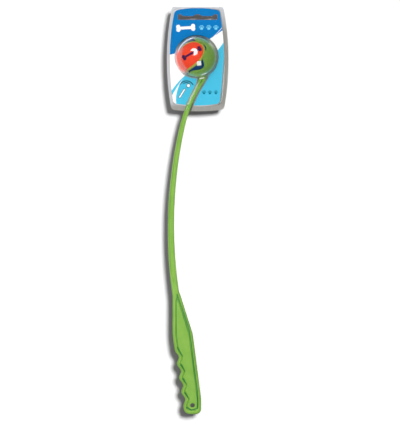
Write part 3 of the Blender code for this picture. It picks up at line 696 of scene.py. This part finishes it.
def trimCard(sheet):
    # the card lies a little to the left, and its right edge stands further in towards the foot
    start, full = card["footAcross"]
    high, low = card["footUp"]
    pick(sheet)
    bpy.ops.object.mode_set(mode="EDIT")
    bpy.ops.mesh.select_all(action="SELECT")
    bpy.ops.mesh.dissolve_limited(angle_limit=math.radians(0.05))  # so that no narrow face turns over
    bpy.ops.object.mode_set(mode="OBJECT")
    for point in sheet.data.vertices:
        off = min(max((abs(point.co.x) - card["edgeFrom"]) / card["edgeReach"], 0), 1)
        point.co.x -= off * (card["leftOut"] if point.co.x < 0 else card["rightIn"])
        side = min(max((point.co.x - start) / (full - start), 0), 1)
        down = min(max((high - point.co.z) / (high - low), 0), 1)
        point.co.x -= card["footIn"] * side * down * down * (3 - 2 * down)


def cardLoops():
    # the card's outline and its slot, each as a closed loop of points
    flat = copyNode("insert_card", "cardOutline")
    trimCard(flat)
    mesh = bmesh.new()
    mesh.from_mesh(flat.data)
    faces = [face for face in mesh.faces if face.normal.y > -0.9]
    bmesh.ops.delete(mesh, geom=faces, context="FACES")
    bmesh.ops.dissolve_limit(mesh, angle_limit=math.radians(1), verts=mesh.verts, edges=mesh.edges)
    loops = []
    left = [edge for edge in mesh.edges if edge.is_boundary]
    while left:
        first = left.pop()
        start, point = first.verts
        loop = [start.co.copy()]
        while point is not start:
            loop.append(point.co.copy())
            following = next(edge for edge in point.link_edges if edge in left)
            left.remove(following)
            point = following.other_vert(point)
        loops.append(loop)
    mesh.free()
    bpy.data.objects.remove(flat)
    return sorted(loops, key=len, reverse=True)


# Clear shells: thin formed sheet; where both are pressed together beyond the card, a painted grey stands for
# the sheet's reflections and the shade seen through it

shell = {
    "outerFace": 1.0 * mm,
    "crease": 35,
    # beads round the card and the slot, and a ridge round the dome's foot between two angles from the right
    "beadRadius": 0.9 * mm,
    "beadShift": 0.9 * mm,
    "beadSunk": 0.5 * mm,
    "rimRadius": 0.45 * mm,
    "rimShift": 0.2 * mm,
    "footRadius": 0.9 * mm,
    "footShift": 0.7 * mm,
    "footArc": (-56, 256),
    "footSteps": 120,
    # the painted grey border: half the pack's width where it is widest, how far its sides bow in over their
    # reach, and how wide the border is there
    "flangeHalf": 2.5 * mm,
    "halfWidth": 54.2 * mm,
    "widestHeight": -74 * mm,
    "sideBow": 9.2 * mm,
    "sideReach": 93.2 * mm,
    "border": 6.0 * mm,
    "borderBlur": 1.2 * mm,
    "borderCorner": 9 * mm,
    "cardOff": 1.25 * mm,  # the card's middle lies this far to the left
    "frameTop": 17.6 * mm,
    "frameBottom": -154.2 * mm,
    "topArch": 2.0,
    "bottomArch": 0.9,  # as a share of the top's
    "paintedFinish": {"Roughness": 0.4, "Specular IOR Level": 0.1},
    # painted grey over the border, as a share
    "paintedShare": 0.6,
    "foldThick": 1.4,
    "rearStops": 0.6,
    # painted highlight on the beads, painted shadow on the foot's ridge and painted shade at the sheet's
    # turned-away edge, as shares
    "beadHighlightShare": 0.45,
    "footShadowShare": 0.9,
    "edgeShadeShare": 0.88,
    "gloss": 0.09,
    "rimGloss": 0.4,
    "domeRadius": 37.35 * mm,
    "edgeFrom": (0.60, 0.72),  # how far a face turns away where its dark edge starts and is full
    # parts of the dome's edge: their middle and half width, in degrees from the right
    "darkCrown": (104, 50),
    "crownShift": -0.02,
    "faintSide": (196, 44),
    "faintShare": 0.85,
    "ballNear": 20 * mm,
    # painted glare on the dome, the first a painted reflection of the ball and the last of the cup: colour,
    # then the shares of its radius where it starts, is full, fades and ends, then its middle and half width
    # as above, and its painted share
    "glares": (
        ((0.95, 0.15, 0.11), 0.68, 0.84, 0.985, 1.01, 192, 50, 0.9),
        ((0.72, 0.76, 0.88), 0.85, 0.89, 0.92, 0.955, 130, 42, 0.97),
        ((0.42, 0.45, 0.36), 0.87, 0.92, 0.965, 0.99, 28, 34, 0.92),
    ),
    # where the painted border's warm grey, the foot's grey and the beads' painted shaded side start and are
    # full
    "warmAcross": (-48 * mm, 6 * mm),
    "warmUp": (12 * mm, -25 * mm),
    "footUp": (-149 * mm, -156 * mm),
    "shadedAcross": (15 * mm, 42 * mm),
    "rippleGrain": 3 * mm,
    "rippleStretch": 0.12,
    "waveGrain": 16 * mm,
    "waveDepth": 0.08 * mm,
    "tint": (0.963, 0.966, 0.966),
    "coolGrey": (0.64, 0.66, 0.69),
    "warmGrey": (0.35, 0.345, 0.31),
    "footGrey": (0.42, 0.41, 0.38),
    # painted highlight on the beads and glints
    "highlightGrey": (0.90, 0.91, 0.92),
    # painted shade on the turned-away edges and the foot's ridge, near black at the crown, where it is a
    # painted shadow of the dome, and brown on the slot's rim
    "edgeShade": (0.24, 0.26, 0.21),
    "crownShadow": (0.008, 0.055, 0.085),
    "rimShade": (0.42, 0.27, 0.20),
    "glintSteps": 6,
    "glintsFrom": -80 * mm,  # rays that find the sheet start here, ahead of the pack, and run backwards
    "glintSunk": 0.7,  # as a share of a glint's half width
    # painted glints on the front sheet: half width, painted share as a multiple of a bead's, then points, in
    # millimetres
    "glints": (
        (0.75, 1.9, ((6.2, -100.7), (9.5, -99.8), (13.5, -98.4), (17.6, -96.6))),
        (0.95, 1.9, ((2.6, -107.3), (6.0, -106.6), (9.5, -105.8), (13.0, -104.6))),
        (1.25, 0.9, (
            (2.2, -112.0), (-0.6, -117.5), (-6.1, -128.3), (-12.4, -139.9), (-16.8, -150.0), (-18.6, -156.0),
        )),
    ),
}


def borderMask(tree, across, up):
    # 1 beyond the card's bowed outline, 0 over the card
    drop = minus(tree, up, shell["widestHeight"])
    bow = product(tree, drop, drop, shell["sideBow"] / shell["sideReach"] ** 2)
    side = calc(tree, "ADD", calc(tree, "ABSOLUTE", calc(tree, "ADD", across, shell["cardOff"])), bow)
    side = minus(tree, side, shell["halfWidth"] - shell["border"])
    arch = product(tree, across, across, shell["topArch"])
    top = minus(tree, calc(tree, "ADD", up, arch), shell["frameTop"])
    bottom = minus(tree, product(tree, arch, shell["bottomArch"]), up)
    bottom = calc(tree, "ADD", bottom, shell["frameBottom"])
    past = calc(tree, "SMOOTH_MAX", side, calc(tree, "MAXIMUM", top, bottom), shell["borderCorner"])
    return between(tree, past, 0, shell["borderBlur"])


def domePlace(tree, place):
    # where a point lies on the dome, as a share of its radius and as a direction in the front's plane
    away = addNode(tree, "VectorMath", {0: place, 1: ball["centre"]}, operation="SUBTRACT").outputs[0]
    across, deep, up = axes(tree, away)
    flat = flatVector(tree, across, up)
    share = calc(tree, "DIVIDE", lengthOf(tree, flat), shell["domeRadius"])
    return share, addNode(tree, "VectorMath", {0: flat}, operation="NORMALIZE").outputs[0]


def clearPlastic(name, rear, thick=1.0):
    material, tree, shader, place = newMaterial(name, shell["paintedFinish"])
    across, deep, up = axes(tree, place)
    flange = calc(tree, "LESS_THAN", calc(tree, "ABSOLUTE", deep), shell["flangeHalf"])
    border = product(tree, borderMask(tree, across, up), flange)
    beads = addNode(tree, "Attribute", attribute_name="beads").outputs["Fac"]
    foot = addNode(tree, "Attribute", attribute_name="foot").outputs["Fac"]
    shadow = addNode(tree, "LightPath").outputs["Is Shadow Ray"]
    lit = minus(tree, 1, shadow)

    # painted shade: a dark line where the sheet turns away, fainter on the side where the painted glare
    # covers it
    share, flat = domePlace(tree, place)
    crown = arcMask(tree, flat, *shell["darkCrown"])
    facing = addNode(tree, "LayerWeight", {"Blend": 0.5}).outputs["Facing"]
    edge = between(tree, calc(tree, "MULTIPLY_ADD", crown, shell["crownShift"], facing), *shell["edgeFrom"])
    faint = calc(tree, "MULTIPLY_ADD", arcMask(tree, flat, *shell["faintSide"]), -shell["faintShare"], 1)
    edge = product(tree, edge, faint)
    foot = product(tree, foot, faint)

    # colours of the painted layer: a grey border that stands for the sheet's reflections and the shade seen
    # through it, lighter and cooler on the left and near the top, another grey at the foot, then the painted
    # dark edges
    stretch = {"Vector": place, "Scale": (1, 1, shell["rippleStretch"])}
    ripple = noise(tree, addNode(tree, "Mapping", stretch).outputs[0], shell["rippleGrain"], 3)
    warm = product(tree, between(tree, across, *shell["warmAcross"]), between(tree, up, *shell["warmUp"]))
    grey = mixColour(tree, warm, shell["coolGrey"], shell["warmGrey"])
    grey = mixColour(tree, between(tree, up, *shell["footUp"]), grey, shell["footGrey"])
    grey = mixColour(tree, product(tree, between(tree, ripple, 0.45, 0.75), 0.2), grey, shell["coolGrey"])
    # near black at the crown, where the dark edge and the foot's ridge are a painted shadow of the dome on
    # the card
    edgeShadeColour = mixColour(tree, crown, shell["edgeShade"], shell["crownShadow"])
    dark = calc(tree, "MAXIMUM", minus(tree, edge, border), foot)
    grey = mixColour(tree, dark, grey, edgeShadeColour)

    paintedShare = product(tree, border, shell["paintedShare"] * thick)
    if rear:  # both sheets together stop nearly all light beyond the card
        paintedShare = calc(tree, "MULTIPLY_ADD", product(tree, border, shadow), shell["rearStops"], paintedShare)
    else:
        # glare, only on the dome's inner face, and only while the ball lies behind it
        reach = {"Distance": shell["ballNear"]}
        near = addNode(tree, "AmbientOcclusion", reach, samples=8, inside=True).outputs["AO"]
        inner = addNode(tree, "NewGeometry").outputs["Backfacing"]
        bulge = product(tree, minus(tree, 1, flange), inner, between(tree, near, 0.75, 0.4), lit)
        for colour, start, full, fade, end, degrees, halfDegrees, strength in shell["glares"]:
            ring = product(tree, between(tree, share, start, full), between(tree, share, end, fade))
            ring = product(tree, ring, arcMask(tree, flat, degrees, halfDegrees), bulge)
            grey = mixColour(tree, ring, grey, colour)
            paintedShare = calc(tree, "MAXIMUM", paintedShare, product(tree, ring, strength))

    # painted highlight: beads are pale, and painted shade makes them duller on the right; rims, which carry a
    # small share, get a brown painted edge shade
    highlight = mixColour(tree, between(tree, across, *shell["shadedAcross"]), shell["highlightGrey"], shell["footGrey"])
    grey = mixColour(tree, product(tree, beads, 4), grey, shell["rimShade"])
    grey = mixColour(tree, between(tree, beads, 0.3, 0.7), grey, highlight)
    paint(tree, shader, grey)
    wave = bump(tree, shader, noise(tree, place, shell["waveGrain"], 1), shell["waveDepth"], 0.5)

    # clear film, then how much of the painted layer lies over it
    sheen = calc(tree, "MULTIPLY_ADD", calc(tree, "POWER", facing, 5), shell["rimGloss"], shell["gloss"])
    sheen = product(tree, sheen, between(tree, beads, 0.35, 0), lit)
    clear = addNode(tree, "BsdfTransparent", {"Color": (*shell["tint"], 1)})
    sheen = addNode(tree, "CombineColor", {0: sheen, 1: sheen, 2: sheen}).outputs[0]
    glossy = addNode(tree, "BsdfGlossy", {"Color": sheen, "Roughness": 0.1, "Normal": wave})
    film = addNode(tree, "AddShader", {0: clear.outputs[0], 1: glossy.outputs[0]})
    paintedShare = calc(tree, "MAXIMUM", paintedShare, product(tree, beads, shell["beadHighlightShare"]))
    paintedShare = calc(tree, "MAXIMUM", paintedShare, product(tree, foot, shell["footShadowShare"]))
    paintedShare = calc(tree, "MAXIMUM", paintedShare, product(tree, edge, shell["edgeShadeShare"], lit))
    mixed = addNode(tree, "MixShader", {0: paintedShare, 1: film.outputs[0], 2: shader.outputs[0]})
    tree.links.new(mixed.outputs[0], tree.nodes["Material Output"].inputs["Surface"])
    return material


def shifted(loop, distance, outwards):
    # a loop moved sideways in its own plane, away from the card when outwards is 1
    area = sum(a.x * b.z - b.x * a.z for a, b in zip(loop, loop[1:] + loop[:1]))
    turn = outwards if area > 0 else -outwards
    moved = []
    for i, point in enumerate(loop):
        run = (loop[(i + 1) % len(loop)] - loop[i - 1]).normalized()
        moved.append(point + Vector((run.z, 0, -run.x)) * distance * turn)
    return moved


def beadAlong(name, places, radius, closed=True):
    # a bead of sheet along some places; an open one runs out at both ends
    curve = bpy.data.curves.new(name, "CURVE")
    curve.dimensions = "3D"
    curve.bevel_depth = radius
    curve.bevel_resolution = 3
    curve.use_fill_caps = True
    spline = curve.splines.new("POLY")
    spline.points.add(len(places) - 1)
    for i, (point, place) in enumerate(zip(spline.points, places)):
        point.co = (*place, 1)
        if not closed:
            point.radius = min(1, 1.6 * math.sin(math.pi * (i + 0.5) / len(places)))
    spline.use_cyclic_u = closed
    bead = newObject(name, curve)
    pick(bead)
    bpy.ops.object.convert(target="MESH")
    bpy.ops.object.shade_smooth()
    return bead


def marked(piece, beads, foot=0.0):
    # what the sheet's material reads: beads is 1 on a bead, less on a rim, and foot is 1 on the foot's ridge
    for name, share in (("beads", beads), ("foot", foot)):
        marks = piece.data.attributes.new(name, "FLOAT", "POINT")
        marks.data.foreach_set("value", [share] * len(piece.data.vertices))
    return piece


def footPlaces():
    # round the dome's foot, from one side of the arm's channel to the other
    radius = shell["domeRadius"] + shell["footShift"]
    first, last = [math.radians(degrees) for degrees in shell["footArc"]]
    for i in range(shell["footSteps"] + 1):
        turn = first + (last - first) * i / shell["footSteps"]
        yield ball["centre"] + Vector((math.cos(turn), 0, math.sin(turn))) * radius


def glintBeads(sheet):
    # low ribs laid on the front sheet where it bulges, pale with a painted highlight
    beads = []
    steps, ahead = shell["glintSteps"], shell["glintsFrom"]
    for i, (halfWidth, share, corners) in enumerate(shell["glints"]):
        places = []
        for (x0, z0), (x1, z1) in zip(corners, corners[1:]):
            for step in range(steps):
                x, z = x0 + (x1 - x0) * step / steps, z0 + (z1 - z0) * step / steps
                found, hit, normal, face = sheet.ray_cast(Vector((x * mm, ahead, z * mm)), Vector((0, 1, 0)))
                if found:
                    places.append(hit - normal * halfWidth * shell["glintSunk"] * mm)
        beads.append(marked(beadAlong(f"glint{i}", places, halfWidth * mm, False), share))
    return beads


def makeShell(node, name, body, side, loops):
    sheet = copyNode(node, name)
    smoothShaded(sheet, shell["crease"])
    depth = side * (shell["outerFace"] - shell["beadSunk"])
    around, slot = shifted(loops[0], shell["beadShift"], 1), shifted(loops[1], shell["rimShift"], -1)
    around, slot, foot = [
        [Vector((place.x, depth, place.z)) for place in places] for places in (around, slot, footPlaces())
    ]
    beads = [
        marked(beadAlong(name + "Bead", around, shell["beadRadius"]), 1.0),
        marked(beadAlong(name + "Rim", slot, shell["rimRadius"]), 0.3),
        marked(beadAlong(name + "Foot", foot, shell["footRadius"], False), 0.0, 1.0),
    ]
    if side < 0:
        beads += glintBeads(sheet)
    marked(sheet, 0.0)
    pick(sheet, *beads)
    bpy.ops.object.join()
    finishPiece(sheet, body, "clear_shell", clearPlastic(name + "Clear", side > 0), node)


def makeShells():
    loops = cardLoops()
    makeShell("front_shell", "frontShell", "lid", -1, loops)
    makeShell("rear_shell", "rearShell", "rear_pack", 1, loops)
    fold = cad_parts["fold_hinge"]
    fold.data.materials.clear()
    fold.data.materials.append(clearPlastic("foldClear", True, shell["foldThick"]))
    print("shells made, card loops of", [len(loop) for loop in loops], "points")


# Stage: a floor, and a wall close behind that takes the shadow

stage = {
    "grain": 60 * mm,
    "floorWidth": 8,
    "floorHeight": -735 * mm,
    "floorGrey": (0.80, 0.83),
    "floorFinish": {"Roughness": 0.9, "Specular IOR Level": 0.0, "Emission Color": (1, 1, 1, 1)},
    "floorGlow": 0.42,
    "wallDepth": 45 * mm,
    "wallWidth": 840 * mm,
    "wallTop": 330 * mm,
    "wallTurn": math.radians(1),  # a little, so that the right side doesn't see its face
    "wallGrey": (0.11, 0.1133),
    "wallGlow": 0.015,  # fills the darkest shadow
}


def stagePlane(name, width, height, place, turn):
    bpy.ops.object.select_all(action="DESELECT")
    bpy.ops.mesh.primitive_plane_add(size=1, location=place, rotation=turn)
    plane = bpy.context.object
    plane.name = name
    plane.scale = (width, height, 1)
    bpy.ops.object.transform_apply(location=True, rotation=True, scale=True)
    return plane


def grained(tree, place, greys):
    grain = noise(tree, place, stage["grain"], 3)
    return mixColour(tree, grain, *[(grey, grey, grey) for grey in greys])


def paleFloor():
    material, tree, shader, place = newMaterial("paleFloor", stage["floorFinish"])
    paint(tree, shader, grained(tree, place, stage["floorGrey"]))
    seen = addNode(tree, "LightPath").outputs["Is Camera Ray"]
    tree.links.new(product(tree, seen, stage["floorGlow"]), shader.inputs["Emission Strength"])
    return material


def paleWall():
    # seen from its front only; it is dark, and its own strong lamp makes it white outside the shadow
    material, tree, shader, place = newMaterial("paleWall")
    surface = addNode(tree, "BsdfDiffuse", {"Color": grained(tree, place, stage["wallGrey"])})
    glow = addNode(tree, "Emission", {"Strength": stage["wallGlow"]})
    surface = addNode(tree, "AddShader", {0: surface.outputs[0], 1: glow.outputs[0]})
    away = addNode(tree, "NewGeometry").outputs["Backfacing"]
    clear = addNode(tree, "BsdfTransparent")
    mixed = addNode(tree, "MixShader", {0: away, 1: surface.outputs[0], 2: clear.outputs[0]})
    tree.links.new(mixed.outputs[0], tree.nodes["Material Output"].inputs["Surface"])
    return material


def makeStage():
    width = stage["floorWidth"]
    floor = stagePlane("floor", width, width, (0, 0, stage["floorHeight"]), (0, 0, 0))
    floor.data.materials.append(paleFloor())
    floor.visible_glossy = False
    height = stage["wallTop"] - stage["floorHeight"]
    middle = (stage["wallTop"] + stage["floorHeight"]) / 2
    turn = (math.radians(90), 0, -stage["wallTurn"])
    wall = stagePlane("wall", stage["wallWidth"], height, (0, stage["wallDepth"], middle), turn)
    wall.data.materials.append(paleWall())
    for kind in ("visible_diffuse", "visible_glossy", "visible_transmission", "visible_shadow"):
        setattr(wall, kind, False)
    return wall


# Light and camera

light = {
    # the wall's lamp: which way it shines, with the shadow's shift in millimetres over the wall's distance
    "shadowSlope": (-8.8 / 45, 1.0, -8.3 / 45),
    "shadowBlur": math.radians(10.5),
    "shadowStrength": 8.6 * math.pi,
    "keyFrom": (-0.28, -0.92, 0.16),
    "keyStrength": 1.85,
    "keyBlur": math.radians(35),
    "fillFrom": (-0.45, 0.85, 0.35),
    "fillStrength": 1.1,
    "worldForObject": 0.60,
    # what shiny sheet mirrors: a dark room, paler behind, with a crescent lamp and long bent lamps
    "mirroredFrom": (-0.2, 1.0),
    "mirrored": (0.005, 0.13),
    "disc": ((-0.25, -0.845, 0.47), 0.34),
    "bite": ((-0.47, -0.82, 0.33), 0.25),
    "crescent": 5.5,
    # depth, half depth, middle and half width in degrees from the right, and strength
    "bands": (
        (0.38, 0.10, 120, 27, 1.5),
        (0.60, 0.20, 200, 50, 0.12),
        (0.60, 0.16, 20, 40, 0.2),
    ),
}

view = {
    "distance": 12.0,
    "across": 4.1 * mm,
    "height": -342.5 * mm,
    "frameHeight": 748 * mm,
    "sensor": 36,
}


def sunFrom(name, direction, strength, blur):
    data = bpy.data.lights.new(name, "SUN")
    data.energy = strength
    data.angle = blur
    lamp = newObject(name, data)
    lamp.rotation_euler = Vector(direction).to_track_quat("Z", "Y").to_euler()
    return lamp


def roundGlow(tree, direction, towards, halfAngle):
    # a round lamp with a soft edge, as shiny sheet mirrors it
    spot = dotWith(tree, direction, Vector(towards).normalized())
    return between(tree, spot, math.cos(halfAngle * 1.15), math.cos(halfAngle * 0.85))


def bandGlow(tree, direction, depth, halfDepth, degrees, halfDegrees):
    # a long lamp bent round the line of sight, at some angle from the right
    across, away, up = axes(tree, direction)
    off = calc(tree, "ABSOLUTE", minus(tree, away, depth))
    ring = between(tree, off, halfDepth, halfDepth * 0.2)
    flat = addNode(tree, "VectorMath", {0: flatVector(tree, across, up)}, operation="NORMALIZE").outputs[0]
    return product(tree, ring, arcMask(tree, flat, degrees, halfDegrees, 0.4))


def makeWorld():
    # white where it is seen, lower where it lights the object, with lamps where shiny sheet mirrors it
    world = bpy.data.worlds.new("studio")
    bpy.context.scene.world = world
    world.use_nodes = True
    tree = world.node_tree
    direction = addNode(tree, "TexCoord").outputs["Generated"]
    inputs = dict(enumerate((axes(tree, direction)[1], *light["mirroredFrom"], *light["mirrored"])))
    mirrored = addNode(tree, "MapRange", inputs).outputs[0]
    disc = roundGlow(tree, direction, *light["disc"])
    bite = roundGlow(tree, direction, *light["bite"])
    crescent = product(tree, disc, minus(tree, 1, bite))
    mirrored = calc(tree, "MULTIPLY_ADD", crescent, light["crescent"], mirrored)
    for *place, strength in light["bands"]:
        mirrored = calc(tree, "MULTIPLY_ADD", bandGlow(tree, direction, *place), strength, mirrored)
    path = addNode(tree, "LightPath")
    seen = calc(tree, "MAXIMUM", path.outputs["Is Camera Ray"], path.outputs["Is Transmission Ray"])
    plain = calc(tree, "MULTIPLY_ADD", seen, 1 - light["worldForObject"], light["worldForObject"])
    strength = addNode(tree, "Mix", {0: path.outputs["Is Glossy Ray"], 2: plain, 3: mirrored}).outputs[0]
    background = tree.nodes["Background"]
    background.inputs["Color"].default_value = (1, 1, 1, 1)
    tree.links.new(strength, background.inputs["Strength"])


def makeLight(wall):
    slope = Vector(light["shadowSlope"])
    wallSun = sunFrom("wallSun", -slope, light["shadowStrength"], light["shadowBlur"])
    receivers = bpy.data.collections.new("wallOnly")
    receivers.objects.link(wall)
    wallSun.light_linking.receiver_collection = receivers
    key = sunFrom("keySun", light["keyFrom"], light["keyStrength"], light["keyBlur"])
    fill = sunFrom("fillSun", light["fillFrom"], light["fillStrength"], light["keyBlur"])
    for lamp in (key, fill):
        lamp.visible_glossy = False  # shiny sheet mirrors the lamps of the world instead
    makeWorld()


def makeCamera():
    data = bpy.data.cameras.new("camera")
    data.sensor_width = view["sensor"]
    data.lens = view["sensor"] / view["frameHeight"] * view["distance"]
    camera = newObject("camera", data)
    camera.location = (view["across"], -view["distance"], view["height"])
    camera.rotation_euler = (math.radians(90), 0, 0)
    bpy.context.scene.camera = camera


bpy.context.scene.view_settings.view_transform = "Standard"
makeCamera()
makeLauncher()
makeBall()
makeCard()
makeShells()
makeLight(makeStage())
print("stage and light made")
